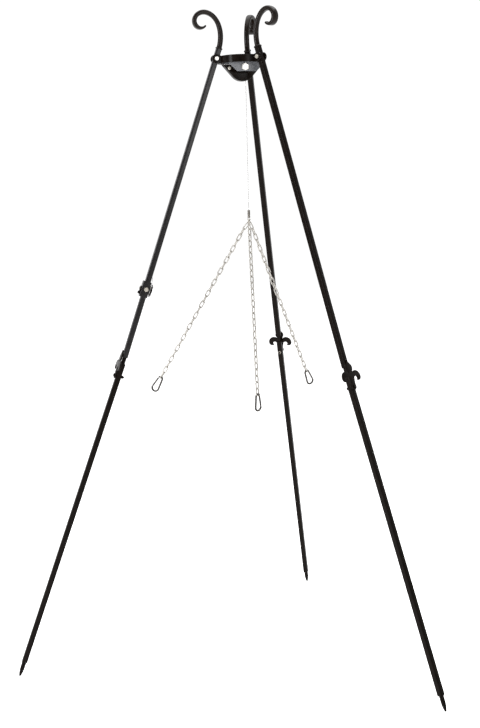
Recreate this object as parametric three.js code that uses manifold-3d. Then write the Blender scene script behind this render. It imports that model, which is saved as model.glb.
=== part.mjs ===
// A folding campfire tripod: three square-tube legs hinged on a welded ring head, a wire hoist that
// runs from a hand wheel on the left leg over a pulley in the head, and a three-chain sling with
// spring hooks. Millimetres, +Z up. The feet stand on z = 0, and the rear leg points to +Y.
import * as THREE from "three";
import { mergeVertices } from "three/addons/utils/BufferGeometryUtils.js";
import Module from "manifold-3d";

const wasm = await Module();
wasm.setup();

// ---------------------------------------------------------------- driving dimensions
const GAP = 0.3; // clearance kept between pieces that touch

const AXIS_Y = -168.35; // the tripod's axis, from the middle of its footprint
const PIVOT_Z = 1665; // height of the leg pivots
const PIVOT_R = 72.3; // distance of a leg pivot from the tripod's axis
const FOOT_R = 674; // distance of a foot's point from the tripod's axis
const UPPER_LEAN = radians(19.2); // lean of the upper tubes
// From the pivot to the bend between a leg's halves, along the leg; the legs are not quite alike.
const KNEE = { rear: 845, left: 850, right: 872 };
const LEG_AZIMUTH = { rear: radians(90), left: radians(210), right: radians(330) };
const HEAD_SIDE = { rear: 1, left: 1, right: -1 }; // which side of a leg its bolt heads are on

const TUBE = 15; // outer side of the leg tubes
const PIVOT_HOLE = 3.3; // radius of the holes for the pivot bolts
const WALL = 1.5;
const TUBE_TOP = 28; // the tube's end above the pivot
const UPPER_END = 5; // the upper tube's lower end, above the knee
const LOWER_START = 13; // the lower tube's upper end, below the knee
const FLEUR_BOLT = 49; // the radial bolt's distance below the knee
const SPIKE_OUT = 40; // length of spike that shows below the lower tube
const SPIKE_D = 12.5;
const SCROLL_D = 14.5;
const FLEUR_HOLE = 2.8; // radius of the holes for the radial bolt

const RING_R = 61.4; // the head ring's outer radius
const RING_WALL = 3;
const RING_TOP = 7.3; // its edges, from the height of the pivots
const RING_BOTTOM = -12.7;
const EAR_T = 4;
const EAR_GAP = 8; // half the room between a leg's two ears
const EAR_R = 12;

const CHEEK_Y = 35; // outer face of a pulley cheek, from the middle of the head
const CHEEK_T = 3;
const AXLE_DROP = -24; // the pulley's axle, from the height of the pivots
const AXLE_D = 10;
const GROOVE_R = 9;
const PULLEY_R = 14;
const PULLEY_W = 9;
const GUARD_R = 34.4; // radius of the pulley housing's round bottom
const GUARD_HALF = 10; // half the housing's width
const PIN = { x: 37.5, z: -25.9, r: 2.7 }; // the pin through the housing's left shoulder

const CABLE_D = 1.5;
const HOIST_X = -(GROOVE_R + CABLE_D / 2 + 0.25); // where the cable drops, along the left leg's line
const CABLE_ENTRY = 14; // the cable's slots in the left tube, from the pivot
const CABLE_EXIT = 612;
const WINDER = 651; // the hand wheel's axle, from the pivot

const FERRULE_TOP = 1257;
const SLING_Z = 1221; // where the chains hang from the collecting ring
const CHAIN_SPREAD = 6; // distance of a chain's first link from the ring's middle
const LINKS = 28;
const PITCH = 18; // a link's inner length
const LINK_WIRE = 2.6;
const LINK_WIDTH = 10.4;
const CHAINS = {
  a: { azimuth: radians(185), tilt: radians(31), turn: radians(-10) },
  b: { azimuth: radians(288), tilt: radians(28.5), turn: radians(40) },
  c: { azimuth: radians(65), tilt: radians(28.5), turn: radians(-20) },
};
const HOOK_WIRE = 4.5;
const HOOK_TOP_R = 6.5; // bends of a spring hook, at the middle of its wire
const HOOK_BOTTOM_R = 10;
const HOOK_LENGTH = 50;

// ---------------------------------------------------------------- materials
const finish = (color, roughness, metalness) =>
  new THREE.MeshStandardMaterial({ color, roughness, metalness });
const BLACK = finish(0x1c1a18, 0.45, 0.2);
const ZINC = finish(0xd2d2ce, 0.35, 0.9);
const CHAIN_STEEL = finish(0xc4c2bd, 0.35, 0.9);
const WIRE = finish(0xb9bab8, 0.4, 0.9);
const DARK_STEEL = finish(0x6f6a63, 0.5, 0.7);

// ---------------------------------------------------------------- helpers
function radians(degrees) {
  return (degrees * Math.PI) / 180;
}

function toSolid(geometry) {
  const bare = geometry.clone();
  bare.deleteAttribute("normal");
  bare.deleteAttribute("uv");
  const merged = mergeVertices(bare, 1e-4);
  return new wasm.Manifold(
    new wasm.Mesh({
      numProp: 3,
      vertProperties: new Float32Array(merged.attributes.position.array),
      triVerts: new Uint32Array(merged.index.array),
    }),
  );
}

function toGeometry(manifold) {
  const mesh = manifold.getMesh();
  const geometry = new THREE.BufferGeometry();
  geometry.setAttribute("position", new THREE.BufferAttribute(new Float32Array(mesh.vertProperties), 3));
  geometry.setIndex(new THREE.BufferAttribute(new Uint32Array(mesh.triVerts), 1));
  return geometry;
}

function join(...geometries) {
  return toGeometry(geometries.map(toSolid).reduce((whole, piece) => whole.add(piece)));
}

function cut(geometry, ...tools) {
  return toGeometry(tools.map(toSolid).reduce((rest, tool) => rest.subtract(tool), toSolid(geometry)));
}

function box(x, y, z, at = [0, 0, 0]) {
  return new THREE.BoxGeometry(x, y, z).translate(...at);
}

// A round bar centred on `at`, lying along "x", "y" or "z".
function bar(radius, length, along, at = [0, 0, 0], sides = 12) {
  const geometry = new THREE.CylinderGeometry(radius, radius, length, sides);
  if (along === "x") geometry.rotateZ(-Math.PI / 2);
  if (along === "z") geometry.rotateX(Math.PI / 2);
  return geometry.translate(...at);
}

function plate(points, thickness, holes = []) {
  const shape = new THREE.Shape(points.map(([x, y]) => new THREE.Vector2(x, y)));
  for (const [x, y, radius] of holes) {
    shape.holes.push(new THREE.Path().absarc(x, y, radius, 0, 2 * Math.PI, true));
  }
  return new THREE.ExtrudeGeometry(shape, { depth: thickness, bevelEnabled: false, curveSegments: 6 });
}

// A plate drawn in XZ and as thick as y0 to y1.
function platePlumb(points, y0, y1, holes = []) {
  return plate(points, y1 - y0, holes).rotateX(Math.PI / 2).translate(0, y1, 0);
}

function arc(x, y, radius, from, to, steps) {
  return Array.from({ length: steps + 1 }, (_, i) => {
    const angle = from + ((to - from) * i) / steps;
    return [x + radius * Math.cos(angle), y + radius * Math.sin(angle)];
  });
}

// The outline of a bent strip that follows `line` with the given thickness.
function strip(line, thickness) {
  const sides = line.map(([x, y], i) => {
    const [ax, ay] = line[Math.max(i - 1, 0)];
    const [bx, by] = line[Math.min(i + 1, line.length - 1)];
    const length = Math.hypot(bx - ax, by - ay);
    const [nx, ny] = [-(by - ay) / length, (bx - ax) / length];
    return [
      [x + (nx * thickness) / 2, y + (ny * thickness) / 2],
      [x - (nx * thickness) / 2, y - (ny * thickness) / 2],
    ];
  });
  return [...sides.map((pair) => pair[0]), ...sides.map((pair) => pair[1]).reverse()];
}

function hexagon(acrossFlats) {
  return arc(0, 0, acrossFlats / Math.sqrt(3), 0, (Math.PI * 5) / 3, 5);
}

// A hex bolt along y: its head stands on y = seat, on the side given, and its shank crosses to the other.
function boltAcross(flats, head, shank, seat, reach, side) {
  const cap = plate(hexagon(flats), head).rotateX(-Math.PI / 2);
  if (side < 0) cap.rotateX(Math.PI);
  cap.translate(0, side * seat, 0);
  const overlap = 1;
  const length = reach + overlap;
  return join(cap, bar(shank / 2, length, "y", [0, side * (seat + overlap - length / 2), 0]));
}

function nutAcross(flats, height, hole, seat, side) {
  const nut = plate(hexagon(flats), height, [[0, 0, hole / 2]]).rotateX(-Math.PI / 2);
  if (side < 0) nut.rotateX(Math.PI);
  return nut.translate(0, side * seat, 0);
}

// A cable or bent rod of round section along a list of points.
function rod(points, diameter, steps, sides = 8) {
  const path = new THREE.CatmullRomCurve3(points.map((p) => new THREE.Vector3(...p)), false, "centripetal");
  const section = new THREE.Shape(arc(0, 0, diameter / 2, 0, 2 * Math.PI, sides)
    .slice(0, sides)
    .map(([x, y]) => new THREE.Vector2(x, y)));
  return new THREE.ExtrudeGeometry(section, { steps, extrudePath: path, bevelEnabled: false });
}

function ringOf(radius, wire) {
  return new THREE.TorusGeometry(radius, wire / 2, 6, 14);
}

function add(parent, name, geometry, material) {
  const mesh = new THREE.Mesh(geometry, material);
  mesh.name = name;
  parent.add(mesh);
  return mesh;
}

// ---------------------------------------------------------------- leg pieces, in the leg's frame
// x points outwards across the leg, y along the pivot bolt, and z up along the upper tube; the pivot is 0.
function tubeBetween(top, bottom) {
  const inner = TUBE / 2 - WALL;
  const shape = new THREE.Shape(square(TUBE / 2).map(([x, y]) => new THREE.Vector2(x, y)));
  shape.holes.push(new THREE.Path(square(inner).reverse().map(([x, y]) => new THREE.Vector2(x, y))));
  const geometry = new THREE.ExtrudeGeometry(shape, { depth: top - bottom, bevelEnabled: false });
  return geometry.translate(0, 0, bottom);
}

function square(half) {
  return [[-half, -half], [half, -half], [half, half], [-half, half]];
}

function upperTube(name) {
  const holes = [bar(PIVOT_HOLE, 2 * TUBE, "y")];
  if (name === "left") {
    holes.push(box(TUBE, 6, 12, [-TUBE / 2, 0, -CABLE_ENTRY]));
    holes.push(box(TUBE, 6, 17, [-TUBE / 2, 0, -CABLE_EXIT]));
    holes.push(bar(4.3, 2 * TUBE, "x", [0, 0, -WINDER]));
  }
  return cut(tubeBetween(TUBE_TOP, UPPER_END - KNEE[name]), ...holes);
}

// The scroll is a round bar that curls outwards ever tighter, and is forged flat and wide at its end.
function scroll() {
  const length = 203.4;
  const steps = 24;
  const bend = (s) => radians(0.597 * s - 3.415e-3 * s ** 2 + 5.895e-5 * s ** 3 - 7.505e-8 * s ** 4);
  const line = [{ x: 0, z: TUBE_TOP + GAP, angle: Math.PI / 2 }];
  const fine = 10;
  for (let i = 1, x = 0, z = TUBE_TOP + GAP; i <= steps * fine; i += 1) {
    const angle = Math.PI / 2 - bend((length * i) / (steps * fine));
    x += (Math.cos(angle) * length) / (steps * fine);
    z += (Math.sin(angle) * length) / (steps * fine);
    if (i % fine === 0) line.push({ x, z, angle });
  }
  const sides = 10;
  const section = new THREE.Shape(arc(0, 0, SCROLL_D / 2, 0, 2 * Math.PI, sides)
    .slice(0, sides)
    .map(([x, y]) => new THREE.Vector2(x, y)));
  const geometry = new THREE.ExtrudeGeometry(section, { depth: 1, steps, bevelEnabled: false });
  const place = geometry.attributes.position;
  const ease = THREE.MathUtils.smoothstep;
  for (let i = 0; i < place.count; i += 1) {
    const t = place.getZ(i);
    const { x, z, angle } = line[Math.round(t * steps)];
    const thin = 1 - 0.1 * ease(t, 0.15, 0.45) - 0.12 * ease(t, 0.6, 0.85) - 0.4 * ease(t, 0.84, 1);
    const wide = 1 + 0.42 * ease(t, 0.38, 0.7);
    const across = place.getX(i) * thin;
    place.setXYZ(i, x + across * Math.sin(angle), place.getY(i) * wide, z - across * Math.cos(angle));
  }
  const plug = box(2 * (TUBE / 2 - WALL - GAP), 2 * (TUBE / 2 - WALL - GAP), 16, [0, 0, TUBE_TOP - 7]);
  const collar = box(TUBE + 2, TUBE + 2, 4, [0, 0, TUBE_TOP + GAP + 2]);
  return join(geometry, plug, collar);
}

function jointBar() {
  const side = 10.2;
  const above = 35;
  const below = 62;
  const hole = bar(FLEUR_HOLE, 2 * TUBE, "x", [0, 0, -FLEUR_BOLT]);
  return cut(box(side, side, above + below, [0, 0, (above - below) / 2]), hole);
}

function lowerTube(end) {
  return cut(tubeBetween(-LOWER_START, -end), bar(FLEUR_HOLE, 2 * TUBE, "x", [0, 0, -FLEUR_BOLT]));
}

// A three-petalled lily cut from plate, drawn across the leg with its wings' middle at 0.
function fleur() {
  const half = new THREE.Path();
  half.moveTo(0, 44);
  half.bezierCurveTo(2.5, 36, 12.5, 31.5, 12.5, 22.5);
  half.bezierCurveTo(12.5, 16.5, 8, 14, 8.5, 10);
  half.bezierCurveTo(13, 16, 23, 16, 29.5, 10.5);
  half.bezierCurveTo(36, 4.5, 37, -5, 32.5, -10);
  half.bezierCurveTo(29.5, -13.6, 24, -14, 19.8, -11.5);
  half.bezierCurveTo(23, -8, 22.6, -4.6, 20.6, -2.4);
  half.bezierCurveTo(18, 0.3, 12, -0.6, 10, -5);
  half.bezierCurveTo(8.6, -11, 7.4, -16, 7.4, -24);
  half.absarc(0, -28, 8.4, radians(28), radians(-90), true);
  const right = half.getPoints(4).filter((p, i, all) => i === 0 || p.distanceTo(all[i - 1]) > 0.05);
  const left = right.slice(1, -1).reverse().map((p) => new THREE.Vector2(-p.x, p.y));
  const shape = new THREE.Shape([...right, ...left].reverse());
  shape.holes.push(new THREE.Path().absarc(0, -28, FLEUR_HOLE, 0, 2 * Math.PI, true));
  const options = { depth: 4, bevelEnabled: false, curveSegments: 6 };
  const geometry = new THREE.ExtrudeGeometry(shape, options);
  // The drawing's x runs along the leg's y, its y up the leg, and its thickness outwards.
  geometry.rotateX(Math.PI / 2).rotateZ(Math.PI / 2);
  return geometry.translate(TUBE / 2 + GAP + 0.3, 0, 28 - FLEUR_BOLT);
}

function spike(end) {
  const radius = SPIKE_D / 2;
  const inside = 5.6;
  const point = end + SPIKE_OUT + 2.5; // past the ground, where it is cut flat
  const profile = [
    [0, -point], [1.5, -point + 0.6], [2.7, -point + 4], [4.3, -point + 9.5], [5.5, -point + 16],
    [radius, -point + 26],
    [radius, -end - GAP], [inside, -end - GAP], [inside, -end + 30], [0, -end + 30],
  ];
  return new THREE.LatheGeometry(profile.map(([r, y]) => new THREE.Vector2(r, y)), 14).rotateX(Math.PI / 2);
}

// ---------------------------------------------------------------- the legs
const tripod = new THREE.Group();
tripod.position.set(0, AXIS_Y, 0);

const legs = {};
for (const [name, azimuth] of Object.entries(LEG_AZIMUTH)) {
  const leg = new THREE.Group();
  leg.position.set(PIVOT_R * Math.cos(azimuth), PIVOT_R * Math.sin(azimuth), PIVOT_Z);
  leg.rotation.set(0, -UPPER_LEAN, azimuth, "ZYX");
  tripod.add(leg);
  legs[name] = leg;

  const kneeR = PIVOT_R + KNEE[name] * Math.sin(UPPER_LEAN);
  const kneeZ = PIVOT_Z - KNEE[name] * Math.cos(UPPER_LEAN);
  const lowerLean = Math.atan2(FOOT_R - kneeR, kneeZ);
  const lowerEnd = Math.hypot(FOOT_R - kneeR, kneeZ) - SPIKE_OUT;
  const knee = new THREE.Group();
  knee.position.set(0, 0, -KNEE[name]);
  knee.rotation.y = UPPER_LEAN - lowerLean;
  leg.add(knee);
  const half = new THREE.Group();
  half.rotation.y = (UPPER_LEAN - lowerLean) / 2;
  half.position.copy(knee.position);
  leg.add(half);

  add(leg, `scroll_${name}`, scroll(), BLACK);
  add(leg, `upper_tube_${name}`, upperTube(name), BLACK);
  add(half, `joint_bar_${name}`, jointBar(), BLACK);
  add(knee, `lower_tube_${name}`, lowerTube(lowerEnd), BLACK);
  add(knee, `fleur_plate_${name}`, fleur(), BLACK);

  // The radial bolt holds the lily, the lower tube and the joint bar together, its nut inside.
  const bolt = boltAcross(8, 2.4, 5, TUBE / 2 + 4.9, 28, 1);
  add(knee, `fleur_bolt_${name}`, bolt.rotateZ(-Math.PI / 2).translate(0, 0, -FLEUR_BOLT), BLACK);
  const nut = nutAcross(8, 5, 2 * FLEUR_HOLE, TUBE / 2 + GAP, -1);
  const coat = name === "rear" ? ZINC : BLACK;
  add(knee, `fleur_nut_${name}`, nut.rotateZ(-Math.PI / 2).translate(0, 0, -FLEUR_BOLT), coat);

  // The spike is cut flat where it meets the ground.
  tripod.updateMatrixWorld(true);
  const toTripod = tripod.matrixWorld.clone().invert().multiply(knee.matrixWorld);
  const ground = box(40, 40, 40, [FOOT_R * Math.cos(azimuth), FOOT_R * Math.sin(azimuth), -20]);
  add(tripod, `foot_spike_${name}`, cut(spike(lowerEnd).applyMatrix4(toTripod), ground), BLACK);
}

// ---------------------------------------------------------------- the head
// Its frame has x along the left leg's line, y towards that leg's bolt heads, and z 0 at the pivots.
function hubRing() {
  const inner = RING_R - RING_WALL;
  const profile = [
    [inner, RING_BOTTOM], [RING_R, RING_BOTTOM], [RING_R, RING_TOP], [inner, RING_TOP], [inner, RING_BOTTOM],
  ];
  const wall = new THREE.LatheGeometry(profile.map(([r, y]) => new THREE.Vector2(r, y)), 36);
  wall.rotateX(Math.PI / 2);
  const root = RING_R - 2;
  const round = arc(PIVOT_R, 0, EAR_R, -Math.PI / 2, Math.PI / 2, 6);
  const outline = [[root, RING_BOTTOM], ...round, [root, RING_TOP]];
  const ears = [];
  for (const azimuth of Object.values(LEG_AZIMUTH)) {
    for (const inside of [EAR_GAP, -EAR_GAP - EAR_T]) {
      const ear = platePlumb(outline, inside, inside + EAR_T, [[PIVOT_R, 0, PIVOT_HOLE]]);
      ears.push(ear.rotateZ(azimuth - LEG_AZIMUTH.left));
    }
  }
  return join(wall, ...ears);
}

function cheek(side) {
  const outer = CHEEK_Y;
  const inner = CHEEK_Y - CHEEK_T;
  const outline = [
    [-46.2, -2], [-46.2, -14], [-43.5, -24], [-34, -36.5], [22, -36.5], [46.2, -14.5], [46.2, -2],
  ];
  const [from, to] = side > 0 ? [inner, outer] : [-outer, -inner];
  return platePlumb(outline, from, to, [[0, AXLE_DROP, AXLE_D / 2 + GAP]]);
}

// The pulley's housing: a bent strap with a round bottom, closed on both sides.
function guardStrap() {
  const thickness = 2.5;
  const side = 1.7;
  const tab = 55.2;
  const bendZ = RING_BOTTOM;
  const toCorner = Math.atan2(bendZ - AXLE_DROP, tab);
  const touch = toCorner - Math.acos(GUARD_R / Math.hypot(tab, bendZ - AXLE_DROP));
  const bottom = arc(0, AXLE_DROP, GUARD_R, touch, -Math.PI - touch, 14);
  const line = [[tab, RING_TOP - 4], [tab, bendZ + 2], [tab - 1.5, bendZ - 2], ...bottom,
    [1.5 - tab, bendZ - 2], [-tab, bendZ + 2], [-tab, RING_TOP - 4]];
  const band = platePlumb(strip(line, thickness).reverse(), -GUARD_HALF, GUARD_HALF);
  const wall = [[tab - 1.5, bendZ - 2], ...bottom, [1.5 - tab, bendZ - 2]].reverse();
  const walls = [[GUARD_HALF - side, GUARD_HALF], [-GUARD_HALF, side - GUARD_HALF]].map(([y0, y1]) =>
    platePlumb(wall, y0, y1, [[0, AXLE_DROP, AXLE_D / 2 + GAP], [PIN.x, PIN.z, PIN.r + GAP]]));
  const dropSlot = box(8, 7, 12, [HOIST_X, 0, AXLE_DROP - GUARD_R]);
  const entrySlot = box(14, 7, 12, [54.5, 0, -15.5]);
  return cut(join(band, ...walls), dropSlot, entrySlot);
}

function pulley() {
  const hub = 7;
  const half = PULLEY_W / 2;
  const length = 8;
  const bore = AXLE_D / 2 + GAP;
  const profile = [
    [bore, -length], [hub, -length], [hub, -half], [PULLEY_R, -half], [PULLEY_R, -half + 1.2],
    [GROOVE_R, -0.9], [GROOVE_R, 0.9], [PULLEY_R, half - 1.2], [PULLEY_R, half],
    [hub, half], [hub, length], [bore, length], [bore, -length],
  ];
  const geometry = new THREE.LatheGeometry(profile.map(([r, y]) => new THREE.Vector2(r, y)), 20);
  return geometry.translate(0, 0, AXLE_DROP);
}

function bush(side) {
  const [outer, inner] = [8, AXLE_D / 2 + GAP];
  const [from, to] = [GUARD_HALF + GAP, CHEEK_Y - CHEEK_T - GAP];
  const profile = [[inner, from], [outer, from], [outer, to], [inner, to], [inner, from]];
  const geometry = new THREE.LatheGeometry(profile.map(([r, y]) => new THREE.Vector2(r, y)), 16);
  if (side < 0) geometry.rotateX(Math.PI);
  return geometry.translate(0, 0, AXLE_DROP);
}

function housingPin() {
  const cap = bar(4.2, 2.4, "y", [PIN.x, 11.7, PIN.z]);
  return join(bar(PIN.r, 24, "y", [PIN.x, 0, PIN.z]), cap);
}

const head = new THREE.Group();
head.position.set(0, 0, PIVOT_Z);
head.rotation.z = LEG_AZIMUTH.left;
tripod.add(head);
add(head, "hub_ring", hubRing(), BLACK);
add(head, "pulley_cheek_front", cheek(1), BLACK);
add(head, "pulley_cheek_rear", cheek(-1), BLACK);
add(head, "guard_strap", guardStrap(), BLACK);
add(head, "housing_pin", housingPin(), ZINC);
add(head, "pulley", pulley(), DARK_STEEL);
add(head, "axle_bush_front", bush(1), BLACK);
add(head, "axle_bush_rear", bush(-1), BLACK);
const axleReach = 2 * (CHEEK_Y + GAP) + 12;
const axleBolt = boltAcross(17, 6.4, AXLE_D, CHEEK_Y + GAP, axleReach, 1);
add(head, "axle_bolt", axleBolt.translate(0, 0, AXLE_DROP), ZINC);
const axleNut = nutAcross(17, 8, AXLE_D + 0.6, CHEEK_Y + GAP, -1);
add(head, "axle_nut", axleNut.translate(0, 0, AXLE_DROP), ZINC);

for (const [name, azimuth] of Object.entries(LEG_AZIMUTH)) {
  const side = HEAD_SIDE[name];
  const seat = EAR_GAP + EAR_T + GAP;
  const mount = new THREE.Group();
  mount.position.set(PIVOT_R * Math.cos(azimuth), PIVOT_R * Math.sin(azimuth), PIVOT_Z);
  mount.rotation.z = azimuth;
  tripod.add(mount);
  add(mount, `pivot_bolt_${name}`, boltAcross(10, 4, 6, seat, 2 * seat + 7, side), ZINC);
  add(mount, `pivot_nut_${name}`, nutAcross(10, 5, 2 * PIVOT_HOLE, seat, -side), ZINC);
}

// ---------------------------------------------------------------- the winder, on the left leg
const CLAMP = { out: 12.4, in: 9.8, side: 10.4, length: 44, bore: TUBE / 2 + GAP };

function winderClamp() {
  const shape = new THREE.Shape([[-CLAMP.in, -CLAMP.side], [CLAMP.out, -CLAMP.side],
    [CLAMP.out, CLAMP.side], [-CLAMP.in, CLAMP.side]].map(([x, y]) => new THREE.Vector2(x, y)));
  shape.holes.push(new THREE.Path(square(CLAMP.bore).reverse().map(([x, y]) => new THREE.Vector2(x, y))));
  const sleeve = new THREE.ExtrudeGeometry(shape, { depth: CLAMP.length, bevelEnabled: false })
    .translate(0, 0, -CLAMP.length / 2);
  const screwHole = bar(3.3, 8, "y", [0, CLAMP.side, 0]);
  return cut(sleeve, bar(4.3, 4 * CLAMP.out, "x"), screwHole);
}

function clampScrew() {
  return boltAcross(11, 4.2, 6, CLAMP.side + GAP, CLAMP.side - CLAMP.bore, 1);
}

// The drum and its lobed hand wheel are one casting, on the inner side of the leg.
function windingWheel() {
  const lobes = 8;
  const drum = { radius: 9, width: 3.2 };
  const wheel = { radius: 15.5, lobe: 1.8, width: 3 };
  const start = -(CLAMP.in + GAP);
  const outline = Array.from({ length: lobes * 4 }, (_, i) => {
    const angle = (i / (lobes * 4)) * 2 * Math.PI;
    const radius = wheel.radius + wheel.lobe * Math.cos(lobes * angle);
    return [radius * Math.cos(angle), radius * Math.sin(angle)];
  });
  const rim = plate(outline, wheel.width).rotateY(-Math.PI / 2).translate(start - drum.width, 0, 0);
  const core = bar(drum.radius, drum.width + 1, "x", [start - (drum.width + 1) / 2, 0, 0], 18);
  return cut(join(rim, core), bar(4 + GAP, 40, "x", [start, 0, 0]));
}

function winderAxle() {
  const inner = -(CLAMP.in + GAP + 6.2);
  const outer = CLAMP.out + 4.6;
  const cap = bar(6.5, 2, "x", [inner - 1 - GAP, 0, 0]);
  return join(bar(4, outer - inner + 1, "x", [(outer + inner - 1) / 2, 0, 0]), cap);
}

function winderCrank() {
  const reach = 12;
  const outline = [...arc(0, 0, 6.5, 0, Math.PI, 6), ...arc(0, -reach, 4.6, Math.PI, 2 * Math.PI, 6)];
  const arm = plate(outline, 3, [[0, 0, 4 + GAP]]);
  const knob = new THREE.CylinderGeometry(3.4, 3.9, 3.6, 12).rotateX(Math.PI / 2).translate(0, -reach, 4.3);
  const crank = join(arm, knob);
  // The drawing's y runs up the leg, and its thickness outwards.
  return crank.rotateX(Math.PI / 2).rotateZ(Math.PI / 2).translate(CLAMP.out + GAP, 0, 0);
}

function woundCable() {
  const start = -(CLAMP.in + GAP);
  const [inner, outer] = [9 + GAP, 12.4];
  const [from, to] = [0.3, 2.9];
  const profile = [[inner, from], [outer, from], [outer, to], [inner, to], [inner, from]];
  const coil = new THREE.LatheGeometry(profile.map(([r, y]) => new THREE.Vector2(r, y)), 20);
  return coil.rotateZ(Math.PI / 2).translate(start, 0, 0);
}

const winder = new THREE.Group();
winder.position.set(0, 0, -WINDER);
legs.left.add(winder);
add(winder, "winder_clamp", winderClamp(), BLACK);
add(winder, "clamp_screw", clampScrew(), ZINC);
add(winder, "winding_wheel", windingWheel(), BLACK);
add(winder, "winder_axle", winderAxle(), DARK_STEEL);
add(winder, "winder_crank", winderCrank(), BLACK);
add(winder, "cable_wound", woundCable(), WIRE);

// ---------------------------------------------------------------- the cable
// Over the pulley and under the ring's edge, to the slot in the left tube.
function cableHead() {
  const over = arc(0, AXLE_DROP, -HOIST_X, Math.PI, Math.PI / 2, 6);
  const end = [[35, -14.4], [69.8, -14.8]];
  return rod([...over, ...end].map(([x, z]) => [x, 0, z]), CABLE_D, 26);
}

// Down inside the tube, out of the lower slot and on to the drum, in the leg's frame.
function cableLeg() {
  const points = [
    [-6.2, 0, -17.4], [-4.2, 0, -19], [-2.2, 0, -23.5], [-1.2, 0, -34], [-1, 0, -75], [-1, 0, -240],
    [-1, 0, -420],
    [-1, 0, -575], [-3.2, 0.2, -597], [-6.8, 1.2, -611.5], [-10.4, 4.6, -621.5], [-11.5, 9.2, -633],
    [-11.5, 11.6, -638.6],
  ];
  return rod(points, CABLE_D, 64);
}

add(head, "cable_head", cableHead(), WIRE);
add(legs.left, "cable_leg", cableLeg(), WIRE);

const hoist = new THREE.Group();
hoist.position.set(HOIST_X * Math.cos(LEG_AZIMUTH.left), HOIST_X * Math.sin(LEG_AZIMUTH.left), 0);
tripod.add(hoist);
const dropTop = PIVOT_Z + AXLE_DROP - 1;
const dropLength = dropTop - FERRULE_TOP - GAP;
add(hoist, "cable_drop", bar(CABLE_D / 2, dropLength, "z", [0, 0, dropTop - dropLength / 2], 8), WIRE);

// ---------------------------------------------------------------- the sling
function ferrule() {
  const loopR = 4;
  const loopWire = 2.2;
  const loopZ = 1232.5;
  const foot = loopZ + loopR - 0.6;
  const sleeve = bar(3.3, FERRULE_TOP - foot, "z", [0, 0, (FERRULE_TOP + foot) / 2]);
  return join(sleeve, ringOf(loopR, loopWire).rotateX(Math.PI / 2).translate(0, 0, loopZ));
}

function collectingRing() {
  const radius = 6;
  const wire = 2.8;
  return ringOf(radius, wire).rotateY(Math.PI / 2).translate(0, 0, SLING_Z - wire / 2 + radius + 1);
}

add(hoist, "sling_ferrule", ferrule(), DARK_STEEL);
add(hoist, "sling_ring", collectingRing(), ZINC);

// A flat plate for each link, a quarter turn from the one above and joined where they bear. The first is a
// slim bar, and the last has an eye for the hook.
function chain() {
  const overlap = 0.3;
  const halfLength = PITCH / 2 + LINK_WIRE + overlap;
  const halfWidth = LINK_WIDTH / 2;
  const corner = halfLength - 0.7 * halfWidth;
  const nose = 0.35 * halfWidth;
  const outline = [
    [-halfWidth, -corner], [-nose, -halfLength], [nose, -halfLength], [halfWidth, -corner],
    [halfWidth, corner], [nose, halfLength], [-nose, halfLength], [-halfWidth, corner],
  ];
  const flat = platePlumb(outline, -LINK_WIRE / 2, LINK_WIRE / 2);
  const eyed = cut(flat, box(LINK_WIDTH - 2 * LINK_WIRE, 2 * LINK_WIRE, PITCH));
  const links = [];
  for (let i = 1; i < LINKS; i += 1) {
    const piece = (i < LINKS - 1 ? flat : eyed).clone();
    if ((LINKS - i) % 2 === 1) piece.rotateZ(Math.PI / 2);
    links.push(piece.translate(0, 0, -PITCH * (i + 0.5)));
  }
  const top = PITCH * 0.86;
  const first = box(LINK_WIRE, LINK_WIRE, top - LINK_WIRE, [0, 0, -(top + LINK_WIRE) / 2]);
  return join(first, ...links);
}

// The spring hook's wire runs from the gate's hinge over the top, down the spine and round the bottom.
const hookSpan = HOOK_LENGTH - HOOK_WIRE - HOOK_TOP_R - HOOK_BOTTOM_R;
const hookSlope = Math.asin((HOOK_BOTTOM_R - HOOK_TOP_R) / hookSpan);
const hookStart = hookSlope + radians(14);
const hookEnd = 2 * Math.PI + hookSlope - radians(12);

function hookBody() {
  const top = arc(0, 0, HOOK_TOP_R, hookStart, Math.PI - hookSlope, 9);
  const bottom = arc(0, -hookSpan, HOOK_BOTTOM_R, Math.PI - hookSlope, hookEnd, 11);
  const line = [...top, ...bottom].map(([x, z]) => new THREE.Vector3(x, 0, z));
  return rod(line.map((p) => p.toArray()), HOOK_WIRE, 28);
}

function hookGate() {
  const from = new THREE.Vector2(...arc(0, 0, HOOK_TOP_R, hookStart, hookStart, 1)[0]);
  const to = new THREE.Vector2(...arc(0, -hookSpan, HOOK_BOTTOM_R, hookEnd, hookEnd, 1)[0]);
  const along = to.clone().sub(from).normalize();
  const clear = 1.1;
  const hingeClear = 2;
  from.addScaledVector(along, hingeClear);
  to.addScaledVector(along, -clear);
  const length = from.distanceTo(to);
  const gate = bar(1.9, length, "z", [0, 0, -length / 2], 8);
  const lean = Math.atan2(along.x, -along.y);
  return gate.rotateY(-lean).translate(from.x, 0, from.y);
}

for (const [name, { azimuth, tilt, turn }] of Object.entries(CHAINS)) {
  const sling = new THREE.Group();
  sling.position.set(CHAIN_SPREAD * Math.cos(azimuth), CHAIN_SPREAD * Math.sin(azimuth), SLING_Z);
  sling.rotation.set(0, -tilt, azimuth, "ZYX");
  hoist.add(sling);
  const spun = new THREE.Group();
  spun.rotation.z = turn;
  sling.add(spun);
  add(spun, `chain_${name}`, chain(), CHAIN_STEEL);
  const hook = new THREE.Group();
  const seat = LINKS * PITCH - HOOK_WIRE / 2 - 0.4;
  hook.position.set(0, 0, -(seat + HOOK_TOP_R));
  spun.add(hook);
  add(hook, `spring_hook_${name}`, hookBody(), CHAIN_STEEL);
  add(hook, `hook_gate_${name}`, hookGate(), CHAIN_STEEL);
}

export default tripod;
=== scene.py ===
import math
import random

import bmesh
import bpy
from mathutils import Matrix, Vector


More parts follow.
